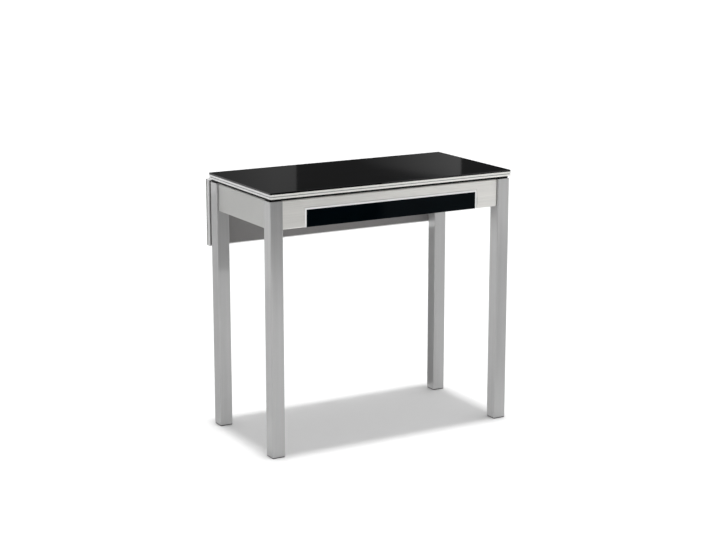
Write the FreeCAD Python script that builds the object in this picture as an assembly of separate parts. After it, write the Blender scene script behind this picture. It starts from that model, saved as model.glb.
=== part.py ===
import FreeCAD, Part
import math
import os

# Kitchen table with a rear drop leaf and a front drawer, in millimetres.
# X runs along the width, the drawer opens towards -Y, Z is up and the floor is Z = 0.
# The solids stand as in use with the leaf hanging; the origin is on the floor
# under the middle of that closed table.

# Closed table
top_width = 800.0
top_depth = 400.0
table_height = 770.0
leaf_length = 200.0

# Top and leaf: glass on a board with an aluminium edge profile all round
glass_thick = 5.0
glass_corner = 1.5
glass_arris = 0.5
board_thick = 13.0
edge_thick = 3.0
edge_round = 0.8
edge_groove_width = 2.6
edge_groove_depth = 1.8
tongue_thick = 2.6
tongue_depth = 8.0
tongue_clear = 0.2

# Shadow gap between the top and the frame
shadow_gap = 8.0

# Square tube legs with plastic feet and caps
leg_size = 40.0
leg_wall = 2.0
leg_corner = 2.5
leg_front_inset = 5.0
leg_rear_inset = 7.5
leg_side_inset = 1.0
foot_flange = 3.0
foot_step = 0.5
foot_chamfer = 1.0
plug_length = 24.0
plug_wall = 2.0
plug_fit = 0.6
plug_ribs = 3
plug_rib_thick = 2.0
cap_step = 3.0
cap_wall = 3.0

# Aprons: folded sheet trays, open to the inside
apron_height = 82.0
apron_depth = 20.0
apron_sheet = 1.5
apron_bend = 3.0
apron_recess = 6.0
apron_tab_gap = 0.5

# Bolts that join the aprons to the legs, and their weld nuts
bolt_radius = 3.0
bolt_clear = 0.3
bolt_head_radius = 5.2
bolt_head_thick = 3.2
bolt_length = 12.0
bolt_pitch = 44.0
nut_radius = 5.5
nut_thick = 6.0
nut_clear = 0.1

# Spacer strips, spacers and screws that carry the top on the aprons
strip_width = 12.0
strip_end_gap = 1.0
spacer_radius = 6.0
top_screw_radius = 2.1
top_screw_clear = 0.3
top_screw_head = 4.5
top_screw_head_thick = 2.6
top_screw_bite = 9.0
top_screw_wall = 1.5
top_screw_end_long = 209.0
top_screw_end_short = 72.0

# Leaf hinges: butt hinges with their pin just below the underside of the top
leaf_gap = 0.6
hinge_drop = 4.0
hinge_end = 150.0
hinge_length = 60.0
hinge_plate_width = 30.0
hinge_plate_thick = 2.0
hinge_plate_corner = 4.0
hinge_plate_back = 1.0
knuckle_radius = 3.5
knuckle_count = 5
knuckle_gap = 0.4
knuckle_clear = 0.6
pin_radius = 1.5
pin_clear = 0.05
hinge_screw_x = 19.0
hinge_screw_y = 17.0
board_screw_radius = 1.8
board_screw_head = 3.6
board_screw_bite = 9.0

# Slotted stays: guide pin and stay pivot lie on one circle about the hinge pin
stay_leg_gap = 30.0
stay_reach = 60.0
stay_pivot_offset = 3.0
stay_spread = 20.0
leaf_swing = 90.0
stay_thick = 3.0
stay_half = 6.0
stay_end = 12.0
stay_pin_radius = 2.5
stay_slot_clear = 0.25
stay_notch = 2.0
stay_side_gap = 0.5
stay_ear_thick = 2.5
stay_ear_radius = 5.0
stay_ear_foot = 15.0
stay_plate_width = 20.0
stay_plate_half = 20.0
stay_head_radius = 4.5
stay_head_thick = 1.2
web_slot_side = 1.5
web_slot_end = 4.0

# Rubber bumpers between the rear apron and the hanging leaf
bumper_end = 209.0
bumper_radius = 8.0
bumper_tip = 6.5
bumper_height = 14.0
bumper_gap = 0.2

# Drawer
drawer_margin = 72.0
drawer_height = 55.0
drawer_gap = 1.0
notch_corner = 2.0
trim_thick = 5.0
drawer_glass_thick = 4.0
drawer_front_thick = 12.0
drawer_wall = 12.0
drawer_side_height = 38.0
drawer_bottom_thick = 4.0
drawer_bottom_lift = 5.0
drawer_groove = 5.0
drawer_groove_clear = 0.3
drawer_travel = 250.0
drawer_overlap = 50.0

# Bearers and roller runners
bearer_clear = 1.0
bearer_width = 12.0
bearer_height = 40.0
bearer_sheet = 1.5
bearer_bend = 2.0
bearer_lift = 3.0
runner_space = 13.0
runner_sheet = 1.2
runner_flange = 10.5
runner_side_clear = 0.8
runner_lift = 4.0
runner_foot = 12.0
runner_step = 1.0
runner_top_clear = 1.8
runner_front_clear = 2.0
roller_radius = 7.8
roller_width = 6.5
roller_run = 0.2
roller_free = 0.8
roller_side_gap = 0.4
roller_inset = 12.0
roller_dish = 1.2
roller_rim = 2.2
axle_radius = 2.5
axle_clear = 0.05
axle_head_radius = 4.0
axle_head_thick = 1.2
stop_clear = 0.5
stop_height = 10.0

# Places that follow from the sizes
top_thick = glass_thick + board_thick
overall_depth = top_depth + leaf_gap / 2 + hinge_drop + top_thick
y_front = -overall_depth / 2
y_rear = y_front + top_depth
under_z = table_height - top_thick
frame_z = under_z - shadow_gap
apron_z = frame_z - apron_height
hinge_y = y_rear + leaf_gap / 2
hinge_z = under_z - hinge_drop
leg_x = top_width / 2 - leg_side_inset - leg_size / 2
leg_front_y = y_front + leg_front_inset + leg_size / 2
leg_rear_y = y_rear - leg_rear_inset - leg_size / 2
apron_front_y = leg_front_y - leg_size / 2 + apron_recess
apron_rear_y = leg_rear_y + leg_size / 2 - apron_recess
apron_side_x = leg_x + leg_size / 2 - apron_recess
apron_long = 2 * leg_x - leg_size
apron_short = leg_rear_y - leg_front_y - leg_size
hinge_pitch = top_width / 2 - hinge_end
stay_x = apron_long / 2 - stay_leg_gap
bumper_x = apron_long / 2 - bumper_end
drawer_width = apron_long - 2 * drawer_margin

X_AXIS = FreeCAD.Vector(1, 0, 0)
Y_AXIS = FreeCAD.Vector(0, 1, 0)
Z_AXIS = FreeCAD.Vector(0, 0, 1)
ORIGIN = FreeCAD.Vector(0, 0, 0)
SIDES = {"left": -1, "right": 1}

os.makedirs("parts", exist_ok=True)


def vec(x, y, z):
    return FreeCAD.Vector(x, y, z)


def rounded_wire(corners, radii, to_space):
    """Closed wire through flat corner points, each rounded to its own radius."""
    points = [vec(u, v, 0) for u, v in corners]
    entries = []
    exits = []
    middles = []
    for index, corner in enumerate(points):
        to_last = (points[index - 1] - corner).normalize()
        to_next = (points[(index + 1) % len(points)] - corner).normalize()
        radius = radii[index]
        half = to_last.getAngle(to_next) / 2
        reach = radius / math.tan(half)
        entries.append(corner + to_last * reach)
        exits.append(corner + to_next * reach)
        bisector = (to_last + to_next).normalize() if radius else to_next
        middles.append(corner + bisector * (radius / math.sin(half) - radius))
    edges = []
    for index in range(len(points)):
        following = (index + 1) % len(points)
        if radii[index]:
            arc_points = (entries[index], middles[index], exits[index])
            edges.append(Part.Arc(*[to_space(p.x, p.y) for p in arc_points]).toShape())
        if (entries[following] - exits[index]).Length > 1e-6:
            start = to_space(exits[index].x, exits[index].y)
            end = to_space(entries[following].x, entries[following].y)
            edges.append(Part.LineSegment(start, end).toShape())
    return Part.Wire(edges)


def extruded(corners, radii, to_space, direction):
    return Part.Face(rounded_wire(corners, radii, to_space)).extrude(direction)


def in_xy(z):
    return lambda u, v: vec(u, v, z)


def in_yz(x):
    return lambda u, v: vec(x, u, v)


def in_xz(y):
    return lambda u, v: vec(u, y, v)


def rectangle(u_low, u_high, v_low, v_high):
    return [(u_low, v_low), (u_high, v_low), (u_high, v_high), (u_low, v_high)]


def block(x_low, x_high, y_low, y_high, z_low, z_high):
    size = (x_high - x_low, y_high - y_low, z_high - z_low)
    return Part.makeBox(*size, vec(x_low, y_low, z_low))


def upright(x, y, width, corner, z_low, z_high):
    """Square bar with rounded corners, standing at x, y."""
    half = width / 2
    square = rectangle(x - half, x + half, y - half, y + half)
    return extruded(square, [corner] * 4, in_xy(z_low), Z_AXIS * (z_high - z_low))


def turned(profile, base, direction):
    """Solid of revolution from (radius, height) points, with its axis along direction."""
    face = Part.Face(Part.makePolygon([vec(r, 0, h) for r, h in profile + profile[:1]]))
    solid = face.revolve(ORIGIN, Z_AXIS, 360)
    solid.Placement = FreeCAD.Placement(base, FreeCAD.Rotation(Z_AXIS, direction))
    return solid


def rod(radius, base, direction, length):
    return Part.makeCylinder(radius, length, base, direction)


def mirrored(shape, side):
    """The piece as drawn for the right side, or its mirror image for the left."""
    return shape.mirror(ORIGIN, X_AXIS) if side < 0 else shape


def lowered(shape):
    """A leaf piece drawn level with the top, turned down about the hinge pin."""
    turned_down = shape.copy()
    turned_down.rotate(vec(0, hinge_y, hinge_z), X_AXIS, -leaf_swing)
    return turned_down


def save(name, *shapes):
    shape = shapes[0] if len(shapes) == 1 else Part.makeCompound(list(shapes))
    shape.exportStep("parts/" + name + ".step")


def one_solid(shape):
    return shape.removeSplitter().Solids[0]


# Fasteners

def board_screw(point, direction):
    """Countersunk screw whose head lies level with the plate's outer face at point."""
    cone = board_screw_head - board_screw_radius
    length = hinge_plate_thick + board_screw_bite
    profile = [
        (0, 0),
        (board_screw_head, 0),
        (board_screw_radius, cone),
        (board_screw_radius, length - board_screw_radius),
        (0, length),
    ]
    return turned(profile, point, direction)


def frame_bolt(point, direction):
    """Button head bolt seated on the apron tab; point is where its axis meets the leg face."""
    profile = [
        (0, 0),
        (bolt_radius, 0),
        (bolt_radius, bolt_length),
        (bolt_head_radius, bolt_length),
        (bolt_head_radius, bolt_length + bolt_head_thick / 2),
        (bolt_head_radius - bolt_head_thick / 2, bolt_length + bolt_head_thick),
        (0, bolt_length + bolt_head_thick),
    ]
    tip = point + direction * (bolt_length - apron_sheet)
    return turned(profile, tip, direction * -1)


def weld_nut(point, direction):
    seat = point + direction * leg_wall
    bore = nut_clear + bolt_radius
    return rod(nut_radius, seat, direction, nut_thick).cut(rod(bore, seat, direction, nut_thick))


# Every apron end has two bolts, one above the other
bolt_line = apron_recess + (apron_sheet + apron_depth) / 2
bolt_heights = [frame_z - apron_height / 2 + step * bolt_pitch / 2 for step in (-1, 1)]
bolt_places = {}
for side_name, side in SIDES.items():
    for row_name, row_y, inward in (("front", leg_front_y, 1), ("rear", leg_rear_y, -1)):
        long_face_x = side * (leg_x - leg_size / 2)
        long_y = row_y - inward * (leg_size / 2 - bolt_line)
        short_face_y = row_y + inward * leg_size / 2
        short_x = side * (leg_x + leg_size / 2 - bolt_line)
        places = []
        for height in bolt_heights:
            places.append((vec(long_face_x, long_y, height), X_AXIS * side))
            places.append((vec(short_x, short_face_y, height), Y_AXIS * -inward))
        bolt_places["leg_" + row_name + "_" + side_name] = places

all_places = [place for places in bolt_places.values() for place in places]


def bolt_holes(shape):
    """Clearance holes for every frame bolt that meets this piece."""
    drills = []
    for point, direction in all_places:
        start = point - direction * apron_depth / 2
        drills.append(rod(bolt_radius + bolt_clear, start, direction, apron_depth / 2 + leg_wall))
    return shape.cut(Part.makeCompound(drills))


# Legs: square tube on a ribbed plastic foot, closed at the top by a cap

leg_inside = leg_size - 2 * leg_wall
leg_inner_corner = leg_corner - leg_wall
leg_rows = {"front": leg_front_y, "rear": leg_rear_y}
leg_caps = []
for row_name, row_y in leg_rows.items():
    for side_name, side in SIDES.items():
        x = side * leg_x
        outside = upright(x, row_y, leg_size, leg_corner, foot_flange, frame_z)
        inside = upright(x, row_y, leg_inside, leg_inner_corner, foot_flange, frame_z)
        save("leg_" + row_name + "_" + side_name, one_solid(bolt_holes(outside.cut(inside))))

        flange = upright(x, row_y, leg_size - 2 * foot_step, leg_corner, 0, foot_flange)
        floor_edges = [edge for edge in flange.Edges if edge.BoundBox.ZMax < foot_flange / 2]
        flange = flange.makeChamfer(foot_chamfer, floor_edges)
        core = leg_inside - 2 * plug_fit
        plug_top = foot_flange + plug_length
        foot = flange.fuse(upright(x, row_y, core, 0, foot_flange, plug_top))
        rib_pitch = plug_length / (plug_ribs + 1)
        for rib in range(plug_ribs):
            rib_z = foot_flange + rib_pitch * (rib + 1) - plug_rib_thick / 2
            rib_solid = upright(x, row_y, leg_inside, leg_inner_corner, rib_z, rib_z + plug_rib_thick)
            foot = foot.fuse(rib_solid)
        hollow = core - 2 * plug_wall
        foot = foot.cut(upright(x, row_y, hollow, 0, foot_flange, plug_top))
        save("foot_" + row_name + "_" + side_name, one_solid(foot))

        head = upright(x, row_y, leg_size - 2 * cap_step, leg_corner, frame_z, under_z)
        shank_low = frame_z - bolt_head_radius
        cap = head.fuse(upright(x, row_y, leg_inside, leg_inner_corner, shank_low, frame_z))
        cap_hollow = leg_inside - 2 * cap_wall
        cap = cap.cut(upright(x, row_y, cap_hollow, 0, shank_low, under_z - cap_wall))
        leg_caps.append(one_solid(cap))
save("leg_caps", *leg_caps)


# Top and leaf panels

def edge_section():
    """Edge profile section: u is outwards from the board, v is up from the underside."""
    middle = board_thick / 2
    half_tongue = tongue_thick / 2
    half_groove = edge_groove_width / 2
    corners = [
        (-tongue_depth, middle - half_tongue),
        (0, middle - half_tongue),
        (0, 0),
        (edge_thick, 0),
        (edge_thick, middle - half_groove),
        (edge_thick - edge_groove_depth, middle - half_groove),
        (edge_thick - edge_groove_depth, middle + half_groove),
        (edge_thick, middle + half_groove),
        (edge_thick, board_thick),
        (0, board_thick),
        (0, middle + half_tongue),
        (-tongue_depth, middle + half_tongue),
    ]
    radii = [0, 0, 0, edge_round, 0, 0, 0, 0, edge_round, 0, 0, 0]
    return corners, radii


def mitred(profile, corners):
    plan = Part.Face(Part.makePolygon([vec(x, y, under_z) for x, y in corners + corners[:1]]))
    return one_solid(profile.common(plan.extrude(Z_AXIS * board_thick)))


def edged_panel(y_low, y_high):
    """Glass, grooved board and four mitred edge profiles of a level panel."""
    half = top_width / 2
    glass_z = under_z + board_thick
    sheet = rectangle(-half, half, y_low, y_high)
    glass = extruded(sheet, [glass_corner] * 4, in_xy(glass_z), Z_AXIS * glass_thick)
    rim = [edge for edge in glass.Edges if edge.BoundBox.ZMin > glass_z + glass_thick / 2]
    glass = one_solid(glass.makeChamfer(glass_arris, rim))

    board_x = half - edge_thick
    board_low = y_low + edge_thick
    board_high = y_high - edge_thick
    board = block(-board_x, board_x, board_low, board_high, under_z, glass_z)
    slot_half = tongue_thick / 2 + tongue_clear
    slot_depth = tongue_depth + tongue_clear
    slot_z = under_z + board_thick / 2
    slot = block(-board_x, board_x, board_low, board_high, slot_z - slot_half, slot_z + slot_half)
    inner = (board_low + slot_depth, board_high - slot_depth)
    core_x = board_x - slot_depth
    slot = slot.cut(block(-core_x, core_x, *inner, slot_z - slot_half, slot_z + slot_half))
    board = one_solid(board.cut(slot))

    corners, radii = edge_section()
    mitre = edge_thick + tongue_depth
    near = extruded(corners, radii, lambda u, v: vec(-half, board_low - u, under_z + v), X_AXIS * top_width)
    near_plan = [(-half, y_low), (half, y_low), (half - mitre, y_low + mitre), (-half + mitre, y_low + mitre)]
    far = extruded(corners, radii, lambda u, v: vec(-half, board_high + u, under_z + v), X_AXIS * top_width)
    far_plan = [(-half, y_high), (half, y_high), (half - mitre, y_high - mitre), (-half + mitre, y_high - mitre)]
    depth = Y_AXIS * (y_high - y_low)
    side = extruded(corners, radii, lambda u, v: vec(board_x + u, y_low, under_z + v), depth)
    side_plan = [(half, y_low), (half, y_high), (half - mitre, y_high - mitre), (half - mitre, y_low + mitre)]
    right = mitred(side, side_plan)
    left = mirrored(right, -1)
    return glass, board, mitred(near, near_plan), mitred(far, far_plan), left, right


top_glass, top_board, top_near, top_far, top_left, top_right = edged_panel(y_front, y_rear)
leaf_start = y_rear + leaf_gap
leaf_panel = edged_panel(leaf_start, leaf_start + leaf_length)
leaf_glass, leaf_board, leaf_near, leaf_far, leaf_left, leaf_right = leaf_panel

# Hinges: knuckles alternate between the plate under the top and the plate under the leaf

knuckle_pitch = hinge_length / knuckle_count


def knuckle_span(index):
    low = -hinge_length / 2 + index * knuckle_pitch
    return low, low + knuckle_pitch


def hinge_wing(hinge_x, own_first, bore):
    """Plate reaching towards -Y with every second knuckle, starting from own_first."""
    half = hinge_length / 2
    plate_low = under_z - hinge_plate_thick
    outline = rectangle(
        hinge_x - half, hinge_x + half, hinge_y - hinge_plate_width, hinge_y - hinge_plate_back
    )
    corners = [hinge_plate_corner, hinge_plate_corner, 0, 0]
    wing = extruded(outline, corners, in_xy(plate_low), Z_AXIS * hinge_plate_thick)
    for index in range(knuckle_count):
        low, high = knuckle_span(index)
        if index % 2 == own_first:
            base = vec(hinge_x + low + knuckle_gap / 2, hinge_y, hinge_z)
            wing = wing.fuse(rod(knuckle_radius, base, X_AXIS, high - low - knuckle_gap))
        else:
            room = knuckle_radius + knuckle_clear
            ends = (hinge_x + low - knuckle_gap / 2, hinge_x + high + knuckle_gap / 2)
            wing = wing.cut(block(*ends, hinge_y - room, hinge_y + room, hinge_z - room, hinge_z + room))
    pin_base = vec(hinge_x - hinge_length, hinge_y, hinge_z)
    return wing.cut(rod(bore, pin_base, X_AXIS, 2 * hinge_length))


def plate_screws(hinge_x):
    """The two screws of one hinge wing, driven up into the board."""
    low = under_z - hinge_plate_thick
    y = hinge_y - hinge_screw_y
    return [board_screw(vec(hinge_x + step * hinge_screw_x, y, low), Z_AXIS) for step in (-1, 1)]


def over_hinge(shape):
    """The same piece on the other side of the hinge pin, still level."""
    return shape.mirror(vec(0, hinge_y, 0), Y_AXIS)


top_wings = []
leaf_wings = []
hinge_pins = []
hinge_screws = []
leaf_screws = []
for hinge_x in (-hinge_pitch, 0, hinge_pitch):
    screws = plate_screws(hinge_x)
    drilled = Part.makeCompound(screws)
    top_wings.append(one_solid(hinge_wing(hinge_x, 0, pin_radius).cut(drilled)))
    leaf_wing = over_hinge(hinge_wing(hinge_x, 1, pin_radius + pin_clear).cut(drilled))
    leaf_wings.append(one_solid(leaf_wing))
    hinge_screws += screws
    leaf_screws += [over_hinge(screw) for screw in screws]
    pin_base = vec(hinge_x - hinge_length / 2, hinge_y, hinge_z)
    hinge_pins.append(rod(pin_radius, pin_base, X_AXIS, hinge_length))
save("hinge_plates_top", *top_wings)
save("hinge_plates_leaf", *[lowered(wing) for wing in leaf_wings])
save("hinge_pins", *hinge_pins)
save("hinge_screws", *hinge_screws)

# Stays: the guide pin on the frame and the stay's pivot on the leaf are equally far from
# the hinge pin, so the stay always turns half as far as the leaf and slides along its slot

pivot_angle = -math.asin(stay_pivot_offset / stay_reach)
guide_angle = pivot_angle - math.radians(stay_spread)
swing = math.radians(leaf_swing)


def on_circle(angle):
    """Point on the stay circle, the angle counted from straight down towards +Y."""
    return vec(0, hinge_y + stay_reach * math.sin(angle), hinge_z - stay_reach * math.cos(angle))


guide = on_circle(guide_angle)
pivot_down = on_circle(pivot_angle)
pivot_level = on_circle(pivot_angle + swing)
slot_near = 2 * stay_reach * math.sin(math.radians(stay_spread) / 2)
slot_far = 2 * stay_reach * math.sin((math.radians(stay_spread) + swing) / 2)
stay_along = (guide - pivot_down).normalize()
stay_across = X_AXIS.cross(stay_along) * -1


def along_stay(u, v):
    return vec(stay_x, 0, 0) + pivot_down + stay_along * u + stay_across * v


slot_half = stay_pin_radius + stay_slot_clear
bar = extruded(
    rectangle(-stay_half, slot_far + stay_end, -stay_half, stay_half),
    [0.98 * stay_half] * 4, along_stay, X_AXIS * stay_thick,
)
slot = extruded(
    rectangle(slot_near - slot_half, slot_far + slot_half, -slot_half, slot_half),
    [0.98 * slot_half] * 4, along_stay, X_AXIS * stay_thick,
)
notch = rod(slot_half, along_stay(slot_far, stay_notch), X_AXIS, stay_thick)
pivot_hole = rod(stay_pin_radius + pin_clear, along_stay(0, 0), X_AXIS, stay_thick)
stay = one_solid(bar.cut(slot).cut(notch).cut(pivot_hole))

# Guide bracket: base on the inside of the rear apron, ear beside the stay, pin through its slot
web_in = apron_rear_y - apron_sheet
ear_low = stay_x - stay_side_gap - stay_ear_thick
ear_high = stay_x - stay_side_gap
guide_corners = [
    (web_in, guide.z - stay_ear_foot),
    (web_in, guide.z + stay_ear_foot),
    (guide.y - stay_ear_radius, guide.z + stay_ear_radius),
    (guide.y - stay_ear_radius, guide.z - stay_ear_radius),
]
ear_radii = [0, 0, 0.9 * stay_ear_radius, 0.9 * stay_ear_radius]
guide_ear = extruded(guide_corners, ear_radii, in_yz(ear_low), X_AXIS * stay_ear_thick)
guide_base = extruded(
    rectangle(ear_high - stay_plate_width, ear_high, guide.z - stay_plate_half, guide.z + stay_plate_half),
    [hinge_plate_corner, 0, 0, hinge_plate_corner], in_xz(web_in - stay_ear_thick), Y_AXIS * stay_ear_thick,
)
guide_pin_length = stay_ear_thick + stay_thick + 2 * stay_side_gap
guide_pin = rod(stay_pin_radius, vec(ear_low, guide.y, guide.z), X_AXIS, guide_pin_length)
head_x = stay_x + stay_thick + stay_side_gap
guide_head = rod(stay_head_radius, vec(head_x, guide.y, guide.z), X_AXIS, stay_head_thick)
guide_bracket = one_solid(guide_ear.fuse([guide_base, guide_pin, guide_head]))

# Leaf bracket, drawn with the leaf level: base under the leaf, ear on the other side of the stay
leaf_ear_low = stay_x + stay_thick + stay_side_gap
leaf_base_z = under_z - stay_ear_thick
pivot = pivot_level
leaf_ear_corners = [
    (pivot.y - stay_ear_foot, under_z),
    (pivot.y + stay_ear_foot, under_z),
    (pivot.y + stay_ear_radius, pivot.z - stay_ear_radius),
    (pivot.y - stay_ear_radius, pivot.z - stay_ear_radius),
]
leaf_ear = extruded(leaf_ear_corners, ear_radii, in_yz(leaf_ear_low), X_AXIS * stay_ear_thick)
leaf_base_high = leaf_ear_low + stay_plate_width
leaf_base = extruded(
    rectangle(leaf_ear_low, leaf_base_high, pivot.y - stay_plate_half, pivot.y + stay_plate_half),
    [0, hinge_plate_corner, hinge_plate_corner, 0], in_xy(leaf_base_z), Z_AXIS * stay_ear_thick,
)
pivot_pin_low = stay_x - stay_side_gap - stay_head_thick
pivot_head = rod(stay_head_radius, vec(pivot_pin_low, pivot.y, pivot.z), X_AXIS, stay_head_thick)
pivot_pin = rod(
    stay_pin_radius, vec(pivot_pin_low, pivot.y, pivot.z), X_AXIS,
    leaf_ear_low + stay_ear_thick - pivot_pin_low,
)
bracket_screw_x = leaf_ear_low + (stay_ear_thick + stay_plate_width) / 2
bracket_screws = [
    board_screw(vec(bracket_screw_x, pivot.y + step * stay_plate_half / 2, leaf_base_z), Z_AXIS)
    for step in (-1, 1)
]
leaf_bracket = leaf_ear.fuse([leaf_base, pivot_pin, pivot_head]).cut(Part.makeCompound(bracket_screws))
leaf_bracket = one_solid(leaf_bracket)

for side_name, side in SIDES.items():
    save("stay_" + side_name, mirrored(stay, side))
    save("stay_guide_" + side_name, mirrored(guide_bracket, side))
    save("stay_bracket_" + side_name, lowered(mirrored(leaf_bracket, side)))
    leaf_screws += [mirrored(screw, side) for screw in bracket_screws]

leaf_board = one_solid(leaf_board.cut(Part.makeCompound(leaf_screws)))
save("leaf_screws", *[lowered(screw) for screw in leaf_screws])
save("leaf_glass", lowered(leaf_glass))
save("leaf_board", lowered(leaf_board))
save("leaf_edge_inner", lowered(leaf_near))
save("leaf_edge_outer", lowered(leaf_far))
save("leaf_edge_left", lowered(leaf_left))
save("leaf_edge_right", lowered(leaf_right))

# Rubber bumpers on the rear apron, for the hanging leaf to rest against
bumper_length = hinge_y + hinge_drop - bumper_gap - apron_rear_y
bumper_z = apron_z + bumper_height
bumper_profile = [
    (0, 0),
    (bumper_radius, 0),
    (bumper_tip, bumper_length),
    (0, bumper_length),
]
bumpers = []
for side in SIDES.values():
    bumpers.append(turned(bumper_profile, vec(side * bumper_x, apron_rear_y, bumper_z), Y_AXIS))
save("leaf_bumpers", *bumpers)


# Aprons

def apron_tray(length):
    """Folded tray along X with end tabs: outer face at y = 0, open towards +Y, bottom edge at z = 0."""
    sheet = apron_sheet
    section = [
        (0, 0), (apron_depth, 0), (apron_depth, sheet), (sheet, sheet),
        (sheet, apron_height - sheet), (apron_depth, apron_height - sheet),
        (apron_depth, apron_height), (0, apron_height),
    ]
    inner_bend = apron_bend - sheet
    radii = [apron_bend, 0, 0, inner_bend, inner_bend, 0, 0, apron_bend]
    fold_x = length / 2 - apron_bend
    tray = extruded(section, radii, in_yz(-fold_x), X_AXIS * 2 * fold_x)
    tab_low = apron_bend + apron_tab_gap
    tab_high = apron_height - apron_bend - apron_tab_gap
    tab_plan = [
        (fold_x, 0), (length / 2, 0), (length / 2, apron_depth),
        (length / 2 - sheet, apron_depth), (length / 2 - sheet, sheet), (fold_x, sheet),
    ]
    tab_radii = [0, apron_bend, 0, 0, inner_bend, 0]
    tab = extruded(tab_plan, tab_radii, in_xy(tab_low), Z_AXIS * (tab_high - tab_low))
    return tray.fuse([tab, mirrored(tab, -1)])


def placed(tray, x, y, turn):
    tray.Placement = FreeCAD.Placement(vec(x, y, apron_z), FreeCAD.Rotation(Z_AXIS, turn))
    return tray


# The screws go up past the tongue of the edge profile, through a strip on the front and side
# flanges and through round spacers on the rear one, where the hinges need the room
tongue_end = edge_thick + tongue_depth + tongue_clear
screw_inset = tongue_end + top_screw_radius + top_screw_wall
fold_inset = apron_bend + max(strip_width / 2, spacer_radius)
screw_front_y = max(y_front + screw_inset, apron_front_y + fold_inset)
screw_rear_y = min(y_rear - screw_inset, apron_rear_y - fold_inset)
screw_side_x = min(top_width / 2 - screw_inset, apron_side_x - fold_inset)
apron_middle = (leg_front_y + leg_rear_y) / 2
top_screw_x = apron_long / 2 - top_screw_end_long
top_screw_y = apron_short / 2 - top_screw_end_short
screw_places = []
for side in SIDES.values():
    screw_places.append((side * top_screw_x, screw_front_y))
    screw_places.append((side * top_screw_x, screw_rear_y))
    screw_places.append((side * screw_side_x, apron_middle - top_screw_y))
    screw_places.append((side * screw_side_x, apron_middle + top_screw_y))

flange_low = frame_z - apron_sheet
screw_drill = Part.makeCompound([
    rod(top_screw_radius + top_screw_clear, vec(x, y, flange_low), Z_AXIS, shadow_gap + apron_sheet)
    for x, y in screw_places
])
top_screw_top = under_z + top_screw_bite
screw_profile = [
    (0, flange_low - top_screw_head_thick),
    (top_screw_head, flange_low - top_screw_head_thick),
    (top_screw_head, flange_low),
    (top_screw_radius, flange_low),
    (top_screw_radius, top_screw_top - top_screw_radius),
    (0, top_screw_top),
]
top_screws = [turned(screw_profile, vec(x, y, 0), Z_AXIS) for x, y in screw_places]
front_half_length = apron_long / 2 - strip_end_gap
side_half_length = apron_short / 2 - strip_end_gap
spacers = [block(
    -front_half_length, front_half_length,
    screw_front_y - strip_width / 2, screw_front_y + strip_width / 2, frame_z, under_z,
)]
for side in SIDES.values():
    side_strip = block(
        screw_side_x - strip_width / 2, screw_side_x + strip_width / 2,
        apron_middle - side_half_length, apron_middle + side_half_length, frame_z, under_z,
    )
    spacers.append(mirrored(side_strip, side))
    spacers.append(rod(spacer_radius, vec(side * top_screw_x, screw_rear_y, frame_z), Z_AXIS, shadow_gap))
save("top_screws", *top_screws)
save("top_spacers", *[one_solid(spacer.cut(screw_drill)) for spacer in spacers])
save("top_board", one_solid(top_board.cut(Part.makeCompound(top_screws + hinge_screws))))
save("top_glass", top_glass)
save("top_edge_front", top_near)
save("top_edge_rear", top_far)
save("top_edge_left", top_left)
save("top_edge_right", top_right)

# Front apron: notch for the drawer, open at the bottom
notch_half = drawer_width / 2 + drawer_gap
notch_top = apron_z + drawer_height + drawer_gap
notch_low = apron_z - apron_depth
notch_cut = extruded(
    rectangle(-notch_half, notch_half, notch_low, notch_top),
    [0, 0, notch_corner, notch_corner], in_xz(apron_front_y - apron_depth), Y_AXIS * 3 * apron_depth,
)
front_apron = placed(apron_tray(apron_long), 0, apron_front_y, 0)
front_apron = bolt_holes(front_apron.cut(notch_cut).cut(screw_drill))
save("apron_front", one_solid(front_apron))

# Rear apron: an upright slot for each stay, long enough for its whole swing
lean_down = math.atan2(pivot_down.z - guide.z, pivot_down.y - guide.y)
lean_up = lean_down + swing / 2
web_far = apron_rear_y - guide.y
slot_low = guide.z + web_far * math.tan(lean_down) - stay_half / math.cos(lean_down) - web_slot_end
slot_high = guide.z + web_far * math.tan(lean_up) + stay_half / math.cos(lean_up) + web_slot_end
rear_apron = placed(apron_tray(apron_long), 0, apron_rear_y, 180)
for side in SIDES.values():
    low = stay_x - web_slot_side
    high = stay_x + stay_thick + web_slot_side
    web_slot = extruded(
        rectangle(low, high, slot_low, slot_high), [0.49 * (high - low)] * 4,
        in_xz(web_in - apron_sheet), Y_AXIS * 3 * apron_sheet,
    )
    rear_apron = rear_apron.cut(mirrored(web_slot, side))
save("apron_rear", one_solid(bolt_holes(rear_apron.cut(screw_drill))))

for side_name, side in SIDES.items():
    tray = placed(apron_tray(apron_short), side * apron_side_x, apron_middle, side * 90)
    save("apron_" + side_name, one_solid(bolt_holes(tray.cut(screw_drill))))

save("frame_bolts", *[frame_bolt(point, direction) for point, direction in all_places])
save("leg_nuts", *[weld_nut(point, direction) for point, direction in all_places])

# Drawer bearers: channels from the front apron to the rear apron, open to the outside

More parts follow.
